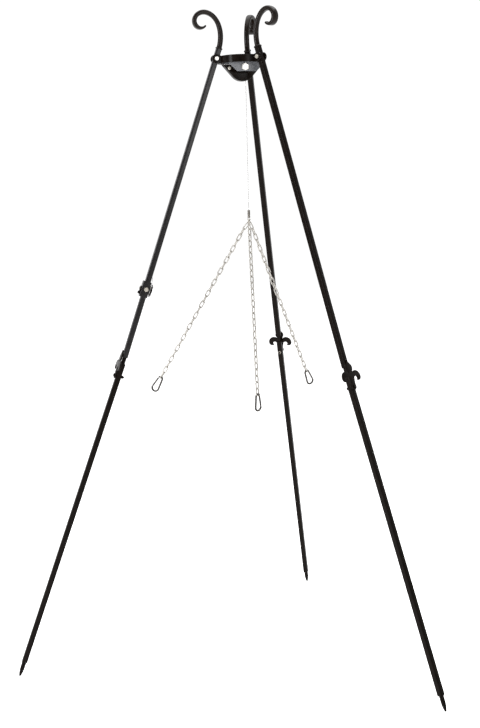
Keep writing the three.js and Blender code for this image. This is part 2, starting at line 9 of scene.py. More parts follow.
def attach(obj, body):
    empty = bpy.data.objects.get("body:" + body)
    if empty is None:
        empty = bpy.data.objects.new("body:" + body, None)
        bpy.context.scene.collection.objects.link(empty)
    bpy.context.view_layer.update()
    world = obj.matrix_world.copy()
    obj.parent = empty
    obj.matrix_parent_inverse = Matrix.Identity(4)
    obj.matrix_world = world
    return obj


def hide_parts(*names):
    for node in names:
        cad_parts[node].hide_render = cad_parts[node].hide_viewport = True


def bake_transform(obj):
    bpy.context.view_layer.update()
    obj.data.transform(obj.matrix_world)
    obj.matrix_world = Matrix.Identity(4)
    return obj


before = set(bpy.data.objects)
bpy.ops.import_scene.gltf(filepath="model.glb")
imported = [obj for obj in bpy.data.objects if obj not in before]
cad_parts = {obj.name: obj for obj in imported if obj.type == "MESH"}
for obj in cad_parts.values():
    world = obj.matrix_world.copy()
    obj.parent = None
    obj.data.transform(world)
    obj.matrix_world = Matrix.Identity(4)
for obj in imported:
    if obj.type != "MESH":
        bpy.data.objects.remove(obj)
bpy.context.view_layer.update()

# ---------------------------------------------------------------- dimensions, in millimetres
# The tripod: its axis, the legs' pivots, their bends below the pivots, and the feet's points.
AXIS_Y = -168.35
PIVOT_Z = 1665
PIVOT_R = 72.3
FOOT_R = 674
LEAN = 19.2
KNEE = {"rear": 845, "left": 850, "right": 872}
AZIMUTH = {"rear": 90, "left": 210, "right": 330}
# The side of the leg that its pivot bolt's head is on.
HEAD_SIDE = {"rear": 1, "left": 1, "right": -1}

# The legs. The tubes start and end at heights measured from the pivot and from the bend.
TUBE = 15
WALL = 1.5
TUBE_TOP = 28
UPPER_END = 5
LOWER_START = 13
LILY_BOLT = 49
LILY_BOLT_Y = -28
LILY_T = 4
SPIKE_OUT = 40
SPIKE_D = 12.5
SPIKE_EXTRA = 2.5
SCROLL_D = 14.5
SCROLL_LENGTH = 203.4
# The scroll's bend in degrees after a length, as factors of the length's first four powers.
SCROLL_BEND = (0.597, -3.415e-3, 5.895e-5, -7.505e-8)
RIVETS = (832, 843)
M5_HOLE = 2.8
M6_HOLE = 3.3

# The head.
RING_R = 61.4
RING_WALL = 3
RING_TOP = 7.3
RING_BOTTOM = -12.7
EAR_T = 4
EAR_GAP = 8
EAR_R = 12
CHEEK_Y = 35
CHEEK_T = 3
AXLE_DROP = -24
AXLE_D = 10
GROOVE_R = 9
PULLEY_R = 14
PULLEY_W = 9
GUARD_R = 34.4
GUARD_HALF = 10
GUARD_TAB = 55.2
GUARD_WALL = 1.7
PIN_X, PIN_Z, PIN_R = 37.5, -25.9, 2.7

# The cable and its winder on the left leg.
CABLE_D = 1.5
HOIST_X = -10
CABLE_ENTRY = 14
CABLE_EXIT = 612
WINDER = 651
CLAMP_OUT, CLAMP_IN, CLAMP_SIDE, CLAMP_LENGTH = 12.4, 9.8, 10.4, 44
CLAMP_BORE = 7.8
SPINDLE_HOLE = 4.3
WHEEL_R, WHEEL_LOBE, WHEEL_LOBES, WHEEL_T = 15.5, 1.8, 8, 3
CRANK_T = 3
# The wound turns of each layer, and the steps in a turn.
COIL_TURNS, COIL_STEPS = 2, 48

# The sling. A chain stands at an azimuth, tilts from the vertical and is turned about its length.
FERRULE_TOP = 1257
FERRULE_FOOT = 1235.6
EYE_Z, EYE_R = 1232.5, 4.1
SLING_Z = 1221
RING_WIRE, RING_LOOP = 2.8, 6
CHAIN_SPREAD = 6
CHAINS = {"a": (185, 31, -10), "b": (288, 28.5, 40), "c": (65, 28.5, -20)}
# Where each chain's end link passes through the collecting ring, as an angle from its lowest point.
RING_SEATS = {"a": 0, "b": -42, "c": 42}
LINKS = 28
PITCH = 18
LINK_WIRE = 3.4
LINK_WIDTH = 12.2
END_WIRE = 3.0
END_WIDTH = 10.4
HOOK_WIRE = 4.5
HOOK_THICK = 5.2
HOOK_TOP_R = 6.5
HOOK_BOTTOM_R = 10
HOOK_LENGTH = 50
HOOK_PLAY = 0.4

# The gap left between neighbouring pieces.
GAP = 0.3
AXLE_HOLE = AXLE_D / 2 + GAP

RIGHT = Vector((1, 0, 0))
BACK = Vector((0, 1, 0))
UP = Vector((0, 0, 1))


# ---------------------------------------------------------------- frames
def shift(x, y, z):
    return Matrix.Translation((x, y, z))


def turned(degrees, axis):
    return Matrix.Rotation(math.radians(degrees), 4, axis)


def polar(radius, degrees):
    return radius * math.cos(math.radians(degrees)), radius * math.sin(math.radians(degrees))


# From a leg's bend to its foot's point: outwards, and down.
REACH = {leg: (FOOT_R - PIVOT_R - down * math.sin(math.radians(LEAN)),
               PIVOT_Z - down * math.cos(math.radians(LEAN)))
         for leg, down in KNEE.items()}
LOWER_LEAN = {leg: math.degrees(math.atan2(*reach)) for leg, reach in REACH.items()}
LOWER_END = {leg: math.hypot(*reach) - SPIKE_OUT for leg, reach in REACH.items()}

TRIPOD = Matrix.Scale(0.001, 4) @ shift(0, AXIS_Y, 0)
MOUNT = {leg: TRIPOD @ shift(*polar(PIVOT_R, azimuth), PIVOT_Z) @ turned(azimuth, "Z")
         for leg, azimuth in AZIMUTH.items()}
LEG = {leg: MOUNT[leg] @ turned(-LEAN, "Y") for leg in AZIMUTH}


# At a leg's bend, turned by a share of the bend's angle.
def at_bend(leg, share):
    return LEG[leg] @ shift(0, 0, -KNEE[leg]) @ turned((LEAN - LOWER_LEAN[leg]) * share, "Y")


LOWER = {leg: at_bend(leg, 1) for leg in AZIMUTH}
HALFWAY = {leg: at_bend(leg, 0.5) for leg in AZIMUTH}
HEAD = TRIPOD @ shift(0, 0, PIVOT_Z) @ turned(AZIMUTH["left"], "Z")
AXLE = HEAD @ shift(0, 0, AXLE_DROP)
HOIST = TRIPOD @ shift(*polar(HOIST_X, AZIMUTH["left"]), 0)
WINDING = LEG["left"] @ shift(0, 0, -WINDER)


# ---------------------------------------------------------------- the camera
CAMERA_PLACE = (0.9486, -3.61035, 1.2936)
CAMERA_HEADING = 105.81
CAMERA_PITCH = -7.405
CAMERA_ROLL = -1.433
CAMERA_LENS = 63.55
CAMERA_SENSOR = 36


def added(name, data):
    made = bpy.data.objects.new(name, data)
    bpy.context.collection.objects.link(made)
    return made


def make_camera():
    heading, pitch, roll = (math.radians(a) for a in (CAMERA_HEADING, CAMERA_PITCH, CAMERA_ROLL))
    ahead = Vector((math.cos(heading) * math.cos(pitch), math.sin(heading) * math.cos(pitch),
                    math.sin(pitch)))
    level = Vector((math.sin(heading), -math.cos(heading), 0))
    upright = level.cross(ahead)
    right = math.cos(roll) * level + math.sin(roll) * upright
    up = math.cos(roll) * upright - math.sin(roll) * level
    data = bpy.data.cameras.new("camera")
    data.sensor_width = CAMERA_SENSOR
    data.lens = CAMERA_LENS
    camera = added("camera", data)
    axes = Matrix((right, up, -ahead)).transposed().to_4x4()
    camera.matrix_world = Matrix.Translation(CAMERA_PLACE) @ axes
    bpy.context.scene.camera = camera


make_camera()


# ---------------------------------------------------------------- materials
# The part of a noise's range that most of its values lie in.
NOISE_RANGE = (0.3, 0.7)
# Where the dark and the light tone stand in that noise.
PAINT_STOPS = (0.3, 0.7)
METAL_STOPS = (0.25, 0.75)
BUMP_HEIGHT = 0.0002


def node(tree, kind, **values):
    made = tree.nodes.new(kind)
    for name, value in values.items():
        made.inputs[name].default_value = value
    return made


def noise(tree, place, scale, detail):
    texture = node(tree, "ShaderNodeTexNoise", Scale=scale, Detail=detail)
    tree.links.new(place, texture.inputs["Vector"])
    return texture.outputs["Fac"]


def ramp(tree, value, stops):
    made = node(tree, "ShaderNodeValToRGB")
    for element, (position, color) in zip(made.color_ramp.elements, stops):
        element.position = position
        element.color = (*color, 1)
    tree.links.new(value, made.inputs["Fac"])
    return made.outputs["Color"]


def remapped(tree, value, source, target):
    made = node(tree, "ShaderNodeMapRange", **{"From Min": source[0], "From Max": source[1],
                                               "To Min": target[0], "To Max": target[1]})
    tree.links.new(value, made.inputs["Value"])
    return made.outputs["Result"]


# A metal or painted surface: mottled colour, uneven roughness and a fine grain in the relief.
def finish_of(name, dark, light, rough, mottle, grain, relief, metallic=0.0, specular=0.5):
    material = bpy.data.materials.new(name)
    material.use_nodes = True
    tree = material.node_tree
    shader = tree.nodes["Principled BSDF"]
    shader.inputs["Metallic"].default_value = metallic
    shader.inputs["Specular IOR Level"].default_value = specular
    place = node(tree, "ShaderNodeTexCoord").outputs["Object"]
    stops = zip(METAL_STOPS if metallic else PAINT_STOPS, (dark, light))
    tone = ramp(tree, noise(tree, place, mottle, 5), stops)
    tree.links.new(tone, shader.inputs["Base Color"])
    uneven = remapped(tree, noise(tree, place, mottle * 2.3, 4), NOISE_RANGE, rough)
    tree.links.new(uneven, shader.inputs["Roughness"])
    bump = node(tree, "ShaderNodeBump", Strength=relief, Distance=BUMP_HEIGHT)
    tree.links.new(noise(tree, place, grain, 2), bump.inputs["Height"])
    tree.links.new(bump.outputs["Normal"], shader.inputs["Normal"])
    return material


BLACK = finish_of("black_paint", (0.0028, 0.0018, 0.0013), (0.0058, 0.0038, 0.0028),
                  rough=(0.16, 0.26), mottle=60, grain=1400, relief=0.16, specular=0.05)
# A copy of the black paint, greyer and with more specular, for the left leg's upper tube and its
# clamp: its grey colour is a painted reflection that the other legs' paint does not carry.
BLACK_PAINTED_SHEEN = finish_of("black_paint_painted_sheen", (0.006, 0.0054, 0.0056), (0.0115, 0.0104, 0.0108),
                  rough=(0.16, 0.26), mottle=60, grain=1400, relief=0.16, specular=0.17)
MATTE = finish_of("black_matte", (0.0032, 0.0025, 0.002), (0.0064, 0.005, 0.0042),
                  rough=(0.5, 0.68), mottle=60, grain=900, relief=0.25, specular=0.05)
FORGED = finish_of("black_forged", (0.0042, 0.0026, 0.0018), (0.0088, 0.0058, 0.0043),
                   rough=(0.2, 0.3), mottle=60, grain=260, relief=0.22, specular=0.12)
# The cheeks are black-painted plates given a bluish grey colour: a painted sheen standing in for
# the front light on them and its reflection.
CHEEK_PAINTED_SHEEN = finish_of("cheek_painted_sheen", (0.078, 0.08, 0.087), (0.112, 0.114, 0.121),
                  rough=(0.34, 0.46), mottle=80, grain=900, relief=0.2, specular=0.4)
ZINC = finish_of("zinc_plate", (0.52, 0.50, 0.46), (0.72, 0.705, 0.66),
                 rough=(0.26, 0.42), mottle=220, grain=1600, relief=0.15, metallic=0.4)
WORN = finish_of("zinc_worn", (0.22, 0.20, 0.168), (0.36, 0.335, 0.288),
                 rough=(0.3, 0.46), mottle=220, grain=1600, relief=0.2, metallic=0.4)
CHAIN = finish_of("chain_steel", (0.25, 0.236, 0.216), (0.39, 0.372, 0.342),
                  rough=(0.34, 0.5), mottle=160, grain=1200, relief=0.2, metallic=0.4)
HOOK = finish_of("hook_steel", (0.024, 0.022, 0.02), (0.08, 0.075, 0.068),
                 rough=(0.22, 0.4), mottle=160, grain=1200, relief=0.2, metallic=1.0)
WIRE = finish_of("wire_rope", (0.30, 0.29, 0.28), (0.52, 0.51, 0.50),
                 rough=(0.28, 0.45), mottle=300, grain=1500, relief=0.15, metallic=1.0)
DULL = finish_of("dull_steel", (0.08, 0.074, 0.066), (0.17, 0.156, 0.138),
                 rough=(0.38, 0.56), mottle=200, grain=900, relief=0.3, metallic=1.0)


# ---------------------------------------------------------------- shapes: points and faces
def merged(*shapes):
    points, faces = [], []
    for more, sides in shapes:
        start = len(points)
        points += more
        faces += [[start + i for i in side] for side in sides]
    return points, faces


def placed(shape, matrix):
    return [matrix @ Vector(p) for p in shape[0]], shape[1]


# The skin through rings of equal length; `looped` joins the last ring to the first.
def skin(rings, looped=False, capped=True):
    count = len(rings[0])
    points = [Vector(p) for ring in rings for p in ring]
    faces = []
    for i in range(len(rings) if looped else len(rings) - 1):
        a, b = i * count, (i + 1) % len(rings) * count
        faces += [[a + j, a + (j + 1) % count, b + (j + 1) % count, b + j] for j in range(count)]
    if capped and not looped:
        faces += [list(range(count)), list(range(len(points) - count, len(points)))]
    return points, faces


# The skin through level outlines, from (outline, height) pairs.
def stacked(levels, looped=False, capped=True):
    return skin([[(x, y, z) for x, y in outline] for outline, z in levels], looped, capped)


def circle(radius, sides, x=0.0, y=0.0):
    angles = [2 * math.pi * i / sides for i in range(sides)]
    return [(x + radius * math.cos(a), y + radius * math.sin(a)) for a in angles]


def arc(x, y, radius, start, end, steps):
    angles = [start + (end - start) * i / steps for i in range(steps + 1)]
    return [(x + radius * math.cos(a), y + radius * math.sin(a)) for a in angles]


def rounded(width, depth, corner, steps=4):
    points = []
    for quarter, (sx, sy) in enumerate(((1, 1), (-1, 1), (-1, -1), (1, -1))):
        cx, cy = sx * (width / 2 - corner), sy * (depth / 2 - corner)
        for i in range(steps + 1):
            angle = (quarter + i / steps) * math.pi / 2
            points.append((cx + corner * math.cos(angle), cy + corner * math.sin(angle)))
    return points


# A body of revolution about z from (radius, height) pairs; a radius of 0 closes it on the axis.
def lathe(profile, sides=48, closed=False):
    return stacked([(circle(r, sides), z) for r, z in profile], looped=closed, capped=False)


# Square tube along z, with rounded corners, from z = top down to z = bottom.
def square_tube(top, bottom):
    corner, bevel = 2.2, 0.3
    inner = rounded(TUBE - 2 * WALL, TUBE - 2 * WALL, corner - 1)
    small = rounded(TUBE - 0.5, TUBE - 0.5, corner)
    outer = rounded(TUBE, TUBE, corner)
    return stacked([(inner, bottom), (small, bottom), (outer, bottom + bevel),
                    (outer, top - bevel), (small, top), (inner, top)], looped=True)


# Directions across a line of points that turn as little as they can from one point to the next.
def along(points, hint=UP, looped=False):
    points = [Vector(p) for p in points]
    count = len(points)
    frames = []
    side = hint
    for i, point in enumerate(points):
        before = points[i - 1] if i or looped else point
        after = points[(i + 1) % count] if i < count - 1 or looped else point
        ahead = (after - before).normalized()
        side = (side - ahead * side.dot(ahead)).normalized()
        frames.append((point, side, ahead.cross(side)))
    return frames


# A section swept along points; it is an outline, or gives one for a share of the way.
def swept(points, section, hint=UP, looped=False):
    frames = along(points, hint, looped)
    rings = []
    for i, (point, u, v) in enumerate(frames):
        outline = section(i / (len(frames) - 1)) if callable(section) else section
        rings.append([point + u * a + v * b for a, b in outline])
    return skin(rings, looped=looped)


# A line of weld, a lumpy bead along the points: its radius times `least`, and up to `extra` more.
def weld(points, radius, seed, least=0.8, extra=0.35, sides=10, looped=False):
    dice = random.Random(seed)

    def section(t):
        return circle(radius * (least + extra * dice.random()), sides)

    return swept(points, section, looped=looped)


# A wire rope: round strands laid about a middle, turned as the rope goes on.
def rope(points, diameter, hint=UP):
    lay, strands, sides = 9.0, 6, 24
    middle, relief = 0.87, 0.13
    frames = along(points, hint)
    rings = []
    travelled = 0.0
    for i, (point, u, v) in enumerate(frames):
        travelled += (point - frames[i - 1][0]).length if i else 0
        twist = 2 * math.pi * travelled / lay
        ring = []
        for k in range(sides):
            angle = 2 * math.pi * k / sides
            radius = diameter / 2 * (middle + relief * math.cos(strands * angle))
            angle += twist
            ring.append(point + radius * (math.cos(angle) * u + math.sin(angle) * v))
        rings.append(ring)
    return skin(rings)


# Points along a smooth line through the given ones, about `step` apart.
def smooth_line(points, step):
    points = [Vector(p) for p in points]
    ends = [2 * points[0] - points[1], *points, 2 * points[-1] - points[-2]]
    line = []
    for p0, p1, p2, p3 in zip(ends, ends[1:], ends[2:], ends[3:]):
        knots = [0.0]
        for a, b in ((p0, p1), (p1, p2), (p2, p3)):
            knots.append(knots[-1] + max((b - a).length, 1e-6) ** 0.5)
        count = max(1, round((p2 - p1).length / step))
        for i in range(count):
            t = knots[1] + (knots[2] - knots[1]) * i / count
            rows = [p0, p1, p2, p3]
            for level in (1, 2, 3):
                rows = [((knots[k + level] - t) * rows[k] + (t - knots[k]) * rows[k + 1])
                        / (knots[k + level] - knots[k]) for k in range(4 - level)]
            line.append(rows[0])
    return [*line, points[-1]]


# Points of a cubic curve from p0 up to, but without, p3.
def cubic(p0, p1, p2, p3, steps=14):
    made = []
    for i in range(steps):
        t = i / steps
        made.append(tuple((1 - t) ** 3 * a + 3 * t * (1 - t) ** 2 * b
                          + 3 * t * t * (1 - t) * c + t ** 3 * d
                          for a, b, c, d in zip(p0, p1, p2, p3)))
    return made


# An outline with its corners rounded; a corner that is nearly straight is left.
def soft_corners(outline, radius, steps=5):
    made = []
    count = len(outline)
    for i in range(count):
        here = Vector(outline[i])
        back = (Vector(outline[i - 1]) - here).normalized()
        on = (Vector(outline[(i + 1) % count]) - here).normalized()
        half = back.angle(on) / 2
        if half > math.radians(88):
            made.append(tuple(here))
            continue
        away = radius / math.tan(half)
        centre = here + (back + on).normalized() * (radius / math.sin(half))
        start, end = here + back * away - centre, here + on * away - centre
        for k in range(steps + 1):
            made.append(tuple(centre + start.slerp(end, k / steps)))
    return made


# A plate with eased edges from closed outlines in its plane, the first the outside; its thickness
# is along z.
def plate(outlines, thickness, ease=0.5, rounds=2):
    curve = bpy.data.curves.new("plate", "CURVE")
    curve.dimensions = "2D"
    curve.fill_mode = "BOTH"
    curve.extrude = thickness / 2 - ease
    curve.bevel_depth = ease
    curve.bevel_resolution = rounds
    curve.offset = -ease
    for outline in outlines:
        spline = curve.splines.new("POLY")
        spline.points.add(len(outline) - 1)
        for place, (x, y) in zip(spline.points, outline):
            place.co = (x, y, 0, 1)
        spline.use_cyclic_u = True
    holder = added("plate", curve)
    mesh = holder.to_mesh()
    shape = [v.co.copy() for v in mesh.vertices], [list(p.vertices) for p in mesh.polygons]
    holder.to_mesh_clear()
    bpy.data.objects.remove(holder)
    bpy.data.curves.remove(curve)
    return shape


# A plate drawn in XZ, as thick as y0 to y1.
def upright_plate(outlines, y0, y1, ease=0.5):
    return placed(plate(outlines, y1 - y0, ease), shift(0, (y0 + y1) / 2, 0) @ turned(90, "X"))


# A hexagonal nut or head along z from 0 to height. A nut has a hole of the given radius and is
# chamfered at both ends; a head has none and is chamfered and slightly dished on top.
def hexagon(flats, height, hole=0.0):
    sides = 72
    apothem = flats / 2
    face = 0.94 * apothem
    slope = math.tan(math.radians(28))
    bevel = 0.6
    edge = []
    for i in range(sides):
        angle = 2 * math.pi * i / sides
        radius = apothem / math.cos((angle + math.pi / 6) % (math.pi / 3) - math.pi / 6)
        edge.append((math.cos(angle), math.sin(angle), radius))

    def level(radius, z):
        return [(radius * c, radius * s, z) for c, s, _ in edge]

    def rim(base, rise):
        return [(r * c, r * s, base + rise * (r - face)) for c, s, r in edge]

    low, high = rim(0, slope if hole else 0), rim(height, -slope)
    sleeve = [level(face, 0), low, high, level(face, height)]
    if hole:
        bore = [(hole + bevel, height), (hole, height - bevel), (hole, bevel), (hole + bevel, 0)]
        return skin([*sleeve, *(level(*pair) for pair in bore)], looped=True)
    centre = 0.001
    dish = [level(0.92 * face, height), level(centre, height - 0.1)]
    return skin([level(centre, 0), *sleeve, *dish])


# The shank of a bolt along z from top down to bottom, cut with thread below `plain`.
def shank(diameter, top, bottom, plain, pitch):
    crest = diameter / 2 - 0.05
    root = diameter / 2 - 0.54 * pitch
    profile = [(0, top), (crest, top), (crest, plain)]
    z = plain - pitch / 2
    while z > bottom + pitch:
        profile += [(root, z), (crest, z - pitch / 2)]
        z -= pitch
    profile += [(root, bottom), (0, bottom)]
    return lathe(profile, 32)


# A bolt whose head stands on z = 0 and whose shank reaches down, the last `thread` of it threaded.
def bolt(flats, head, diameter, reach, pitch, thread):
    return merged(hexagon(flats, head), shank(diameter, 0.5, -reach, -(reach - thread), pitch))


# ---------------------------------------------------------------- pieces
def mesh_of(name, shape, matrix):
    mesh = bpy.data.meshes.new(name)
    mesh.from_pydata([matrix @ Vector(p) for p in shape[0]], [], shape[1])
    work = bmesh.new()
    work.from_mesh(mesh)
    bmesh.ops.remove_doubles(work, verts=work.verts, dist=2e-6)
    bmesh.ops.dissolve_degenerate(work, dist=1e-7, edges=work.edges)
    bmesh.ops.recalc_face_normals(work, faces=work.faces)
    work.to_mesh(mesh)
    work.free()
    return mesh


# Cuts shapes, given in the same frame as the piece's own, out of a piece.
def cut_out(made, cutters, matrix):
    tools = []
    for cutter in cutters:
        tool = added("cutter", mesh_of("cutter", cutter, matrix))
        cut = made.modifiers.new("cut", "BOOLEAN")
        cut.operation = "DIFFERENCE"
        cut.solver = "EXACT"
        cut.object = tool
        tools.append(tool)
    solid = made.evaluated_get(bpy.context.evaluated_depsgraph_get())
    made.modifiers.clear()
    made.data = bpy.data.meshes.new_from_object(solid)
    for tool in tools:
        bpy.data.objects.remove(tool)


def piece(name, shape, matrix, material, slot, body=None, stands_for=(), cutters=(), sharp=38):
    made = added(name, mesh_of(name, shape, matrix))
    if cutters:
        cut_out(made, cutters, matrix)
    made.data.materials.clear()
    made.data.materials.append(material)
    made.data.shade_smooth()
    made.data.set_sharp_from_angle(angle=math.radians(sharp))
    if stands_for:
        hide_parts(*stands_for)
    if body:
        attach(made, body)
    return made


# Tools that cut a round hole along an axis, and a slot along the leg through its inner side.
def bar_tool(radius, length, axis, at):
    half = length / 2
    shape = lathe([(0, -half), (radius, -half), (radius, half), (0, half)], 32)
    turn = {"x": turned(90, "Y"), "y": turned(90, "X")}[axis]
    return placed(shape, shift(*at) @ turn)


def slot_tool(width, length, depth, at):
    half = length / 2 - width / 2
    outline = [*arc(0, half, width / 2, 0, math.pi, 10),
               *arc(0, -half, width / 2, math.pi, 2 * math.pi, 10)]
    shape = stacked([(outline, -depth / 2), (outline, depth / 2)])
    return placed(shape, shift(*at) @ turned(90, "Y") @ turned(90, "Z"))


# ---------------------------------------------------------------- the legs
# Rises smoothly from 0 at low to 1 at high.
def eased(t, low, high):
    k = min(max((t - low) / (high - low), 0), 1)
    return k * k * (3 - 2 * k)


# The scroll: a round bar that curls over, is hammered flat and wide on its way, and is rounded off
# at its tip; its plug in the tube; and the weld round the tube's end.
def scroll_shape():
    steps, sides = 200, 28
    stride = SCROLL_LENGTH / steps
    x, z = 0.0, TUBE_TOP + GAP
    line = [(x, z, math.pi / 2, 0.0)]
    for i in range(1, steps + 1):
        s = SCROLL_LENGTH * i / steps
        bend = sum(factor * s ** power for power, factor in enumerate(SCROLL_BEND, 1))
        angle = math.pi / 2 - math.radians(bend)
        x += math.cos(angle) * stride
        z += math.sin(angle) * stride
        line.append((x, z, angle, i / steps))
    rings = []
    for x, z, angle, t in line:
        thin = 1 - 0.1 * eased(t, 0.15, 0.45) - 0.12 * eased(t, 0.6, 0.85) - 0.4 * eased(t, 0.84, 1)
        wide = 1 + 0.42 * eased(t, 0.38, 0.7)
        end = math.sqrt(max(0.0, 1 - max(0.0, (t - 0.965) / 0.036) ** 2))
        thick = SCROLL_D * thin * (0.55 + 0.45 * end)
        wide = SCROLL_D * wide * (0.25 + 0.75 * end)
        boxy = 2 + 1.4 * eased(t, 0.35, 0.8)
        ring = []
        for c, d in circle(1, sides):
            u = math.copysign(abs(c) ** (2 / boxy), c) * thick / 2
            v = math.copysign(abs(d) ** (2 / boxy), d) * wide / 2
            ring.append((x + u * math.sin(angle), v, z - u * math.cos(angle)))
        rings.append(ring)
    plug = rounded(11.4, 11.4, 0.8)
    bead = [(*p, TUBE_TOP + GAP + 1.2) for p in rounded(14.6, 14.6, 3.2, 3)]
    return merged(skin(rings), stacked([(plug, TUBE_TOP - 15), (plug, TUBE_TOP + 1)]),
                  weld(bead, 2.2, seed=7, least=0.88, extra=0.24, sides=8, looped=True))


# The lily, drawn with its middle on x = 0: the right half's curves from the top petal's tip to the
# stem, the round end about the bolt, and the same mirrored.
def lily_outline():
    knots = [(0, 44), (2.5, 36), (12.5, 31.5), (12.5, 22.5), (12.5, 16.5), (8, 14), (8.5, 10),
             (13, 16), (23, 16), (29.5, 10.5), (36, 4.5), (37, -5), (32.5, -10), (29.5, -13.6),
             (24, -14), (19.8, -11.5), (23, -8), (22.6, -4.6), (20.6, -2.4), (18, 0.3),
             (12, -0.6), (10, -5), (8.6, -11), (7.4, -16), (7.4, -24)]
    right = []
    for i in range(0, len(knots) - 1, 3):
        right += cubic(*knots[i:i + 4])
    right += arc(0, LILY_BOLT_Y, 8.4, math.radians(28), math.radians(-90), 14)
    return right + [(-x, y) for x, y in reversed(right[1:-1])]


def leg_bars(leg, paint):
    piece(f"scroll_top_{leg}", scroll_shape(), LEG[leg], FORGED, stands_for=[f"scroll_{leg}"],
          **paint)

    holes = [bar_tool(M6_HOLE, 2 * TUBE, "y", (0, 0, 0))]
    if leg == "left":
        holes += [slot_tool(6, 12, TUBE, (-TUBE / 2, 0, -CABLE_ENTRY)),
                  slot_tool(6, 17, TUBE, (-TUBE / 2, 0, -CABLE_EXIT)),
                  bar_tool(SPINDLE_HOLE, 2 * TUBE, "x", (0, 0, -WINDER))]
    # The left leg's upper tube takes the painted-sheen copy of the black paint; the other legs take
    # the plain black paint.
    piece(f"upper_leg_{leg}", square_tube(TUBE_TOP, UPPER_END - KNEE[leg]), LEG[leg],
          BLACK_PAINTED_SHEEN if leg == "left" else BLACK, stands_for=[f"upper_tube_{leg}"], cutters=holes,
          **paint)

    joint_hole = bar_tool(M5_HOLE, 2 * TUBE, "x", (0, 0, -LILY_BOLT))
    core = stacked([(rounded(w, w, 1.2), z)
                    for w, z in ((9.6, 35), (10.2, 34.6), (10.2, -61.6), (9.6, -62))])
    piece(f"joint_core_{leg}", core, HALFWAY[leg], BLACK, stands_for=[f"joint_bar_{leg}"],
          cutters=[joint_hole], **paint)
    piece(f"lower_leg_{leg}", square_tube(-LOWER_START, -LOWER_END[leg]), LOWER[leg], BLACK,
          stands_for=[f"lower_tube_{leg}"], cutters=[joint_hole], **paint)


# The lily's drawing has x along the leg's y, y up the leg, and its thickness outwards.
def leg_lily(leg, paint):
    face = TUBE / 2 + GAP
    lily = plate([lily_outline(), circle(M5_HOLE, 24, 0, LILY_BOLT_Y)], LILY_T, ease=0.9, rounds=3)
    stand = shift(face + 2.3, 0, -LILY_BOLT_Y - LILY_BOLT) @ turned(90, "Z") @ turned(90, "X")
    piece(f"lily_{leg}", lily, LOWER[leg] @ stand, BLACK, stands_for=[f"fleur_plate_{leg}"],
          sharp=50, **paint)
    outward = shift(TUBE / 2 + 4.9, 0, -LILY_BOLT) @ turned(90, "Y")
    m5_bolt = bolt(flats=8, head=2.4, diameter=5, reach=28, pitch=0.8, thread=10)
    piece(f"lily_bolt_{leg}", m5_bolt, LOWER[leg] @ outward, BLACK,
          stands_for=[f"fleur_bolt_{leg}"], **paint)
    inward = shift(-face, 0, -LILY_BOLT) @ turned(-90, "Y")
    # Only the rear leg's nut is given the brighter zinc finish and slot: partly taken as bare
    # metal, partly a painted highlight for the light its face catches. The same nuts on the other
    # legs, in shade, are black paint.
    bare_and_lit = leg == "rear"
    piece(f"lily_nut_{leg}", hexagon(flats=8, height=5, hole=2.55), LOWER[leg] @ inward,
          WORN if bare_and_lit else BLACK, slot="zinc_plate" if bare_and_lit else "black_paint",
          body=f"leg_{leg}", stands_for=[f"fleur_nut_{leg}"])


# The spike, longer than the leg and cut flat on the ground, and the weld at its top.
def leg_spike(leg, paint):
    end = LOWER_END[leg]
    point = end + SPIKE_OUT + SPIKE_EXTRA
    half, tail = SPIKE_D / 2, 5.6
    cone = [(1.5, 0.6), (2.1, 2.1), (2.7, 4), (3.55, 6.6), (4.3, 9.5), (5.5, 16), (6, 21),
            (half, 26)]
    profile = [(0, -point), *((r, -point + up) for r, up in cone), (half, -end - 1.2),
               (half - 0.6, -end - GAP), (tail, -end - GAP), (tail, -end + 30), (0, -end + 30)]
    ground = lathe([(0, -40), (60, -40), (60, 0), (0, 0)], 24)
    foot = TRIPOD @ shift(*polar(FOOT_R, AZIMUTH[leg]), 0)
    piece(f"spike_{leg}", lathe(profile, 40), LOWER[leg], BLACK, stands_for=[f"foot_spike_{leg}"],
          cutters=[placed(ground, LOWER[leg].inverted() @ foot)], **paint)
    collar = [(*p, -end - 0.9) for p in circle(half - 0.2, 30)]
    bead = weld(collar, 1.0, seed=11, least=0.8, extra=0.4, sides=8, looped=True)
    piece(f"spike_weld_{leg}", bead, LOWER[leg], BLACK, **paint)


def leg_hinge(leg):
    side = HEAD_SIDE[leg]
    seat = EAR_GAP + EAR_T + GAP
    plated = dict(slot="zinc_plate", body="head")
    m6_bolt = bolt(flats=10, head=4, diameter=6, reach=2 * seat + 7, pitch=1.0, thread=12)
    piece(f"hinge_bolt_{leg}", m6_bolt,
          MOUNT[leg] @ shift(0, side * seat, 0) @ turned(-90 * side, "X"),
          ZINC if leg == "left" else WORN, stands_for=[f"pivot_bolt_{leg}"], **plated)
    piece(f"hinge_nut_{leg}", hexagon(flats=10, height=5, hole=3.05),
          MOUNT[leg] @ shift(0, -side * seat, 0) @ turned(90 * side, "X"), WORN,
          stands_for=[f"pivot_nut_{leg}"], **plated)


def leg_pieces(leg):
    paint = dict(slot="black_paint", body=f"leg_{leg}")
    leg_bars(leg, paint)
    leg_lily(leg, paint)
    leg_spike(leg, paint)
    leg_hinge(leg)


for leg_name in AZIMUTH:
    leg_pieces(leg_name)


# Two small rivets on the side of the left leg, above its joint.
def rivets():
    dome = lathe([(0, 1.6), (0.8, 1.5), (1.5, 1.15), (2.0, 0.6), (2.1, -1), (0, -1)], 24)
    domes = [placed(dome, shift(0, -TUBE / 2, -down) @ turned(90, "X")) for down in RIVETS]
    piece("tube_rivets", merged(*domes), LEG["left"], WORN, slot="zinc_plate", body="leg_left")


